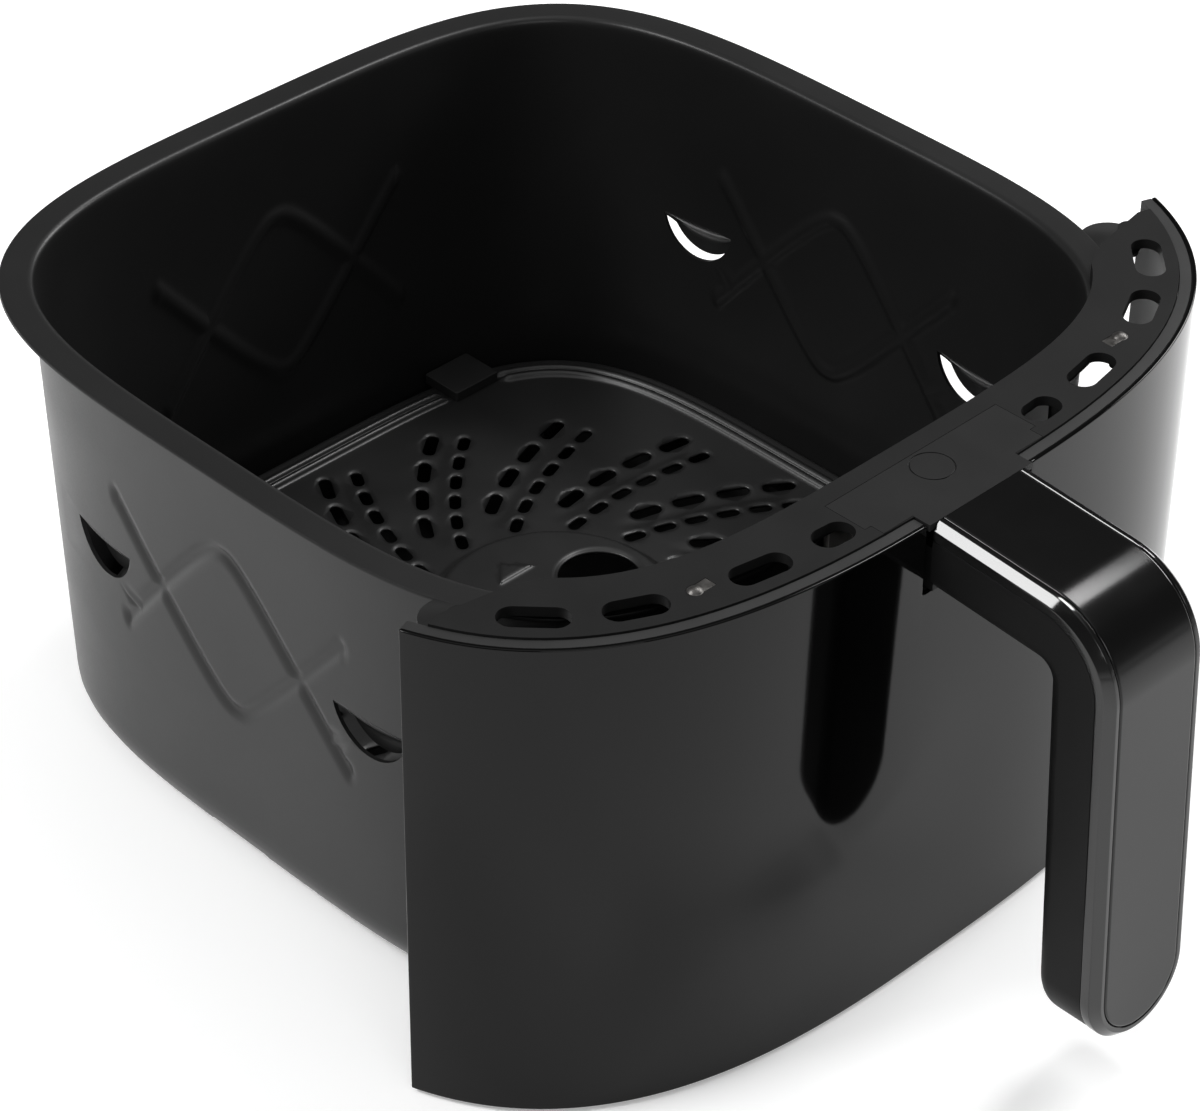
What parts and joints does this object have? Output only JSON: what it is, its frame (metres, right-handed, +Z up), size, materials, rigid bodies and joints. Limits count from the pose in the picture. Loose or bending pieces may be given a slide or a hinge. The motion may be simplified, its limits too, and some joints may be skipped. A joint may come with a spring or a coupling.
{
  "type": "air fryer drawer",
  "caption": "Pull-out air fryer drawer: square non-stick pot with a lift-out crisper plate, vented top bracket, curved glossy front panel and cranked handle.",
  "frame": {"origin": "centre of the footprint, on the plane that the pot's base stands on", "axes": "+X to the right seen from the handle, +Y from the handle towards the back of the pot, +Z up"},
  "size_m": [0.289, 0.3557, 0.1565],
  "materials": {
    "pot_steel": "satin non-stick coating",
    "crisper_steel": "satin non-stick coating",
    "bracket_plastic": "fine moulded texture",
    "panel_gloss": "high gloss",
    "handle_gloss": "gloss with polished edge bands",
    "handle_matte": "fine moulded texture",
    "face_satin": "satin",
    "silicone": "matte",
    "zinc_steel": "zinc plated",
    "shield_aluminium": "mill finish",
    "clip_steel": "dull polished"
  },
  "bodies": {
    "drawer": {"pot": "pot_steel", "pot_mount_plate": "zinc_steel", "mount_nuts": "zinc_steel", "lower_stay": "zinc_steel", "stay_screws": "zinc_steel", "bracket": "bracket_plastic", "wing_screws": "zinc_steel", "clip_left": "clip_steel", "clip_right": "clip_steel", "cover_plate": "bracket_plastic", "front_panel": "panel_gloss", "panel_frame": "bracket_plastic", "frame_screws": "zinc_steel", "heat_shield": "shield_aluminium", "handle_tang": "zinc_steel", "tang_screws": "zinc_steel", "handle_inner_shell": "handle_matte", "handle_outer_frame": "handle_gloss", "handle_face_plate": "face_satin", "handle_screws": "zinc_steel"},
    "crisper": {"crisper_plate": "crisper_steel", "crisper_legs": "crisper_steel", "bumper_back_left": "silicone", "bumper_back_right": "silicone", "bumper_front_left": "silicone", "bumper_front_right": "silicone"}
  },
  "joints": [
    {"name": "crisper_lift", "type": "slide", "parent": "drawer", "child": "crisper", "axis": [0, 0, 1], "range_m": [0, 0.165]}
  ]
}
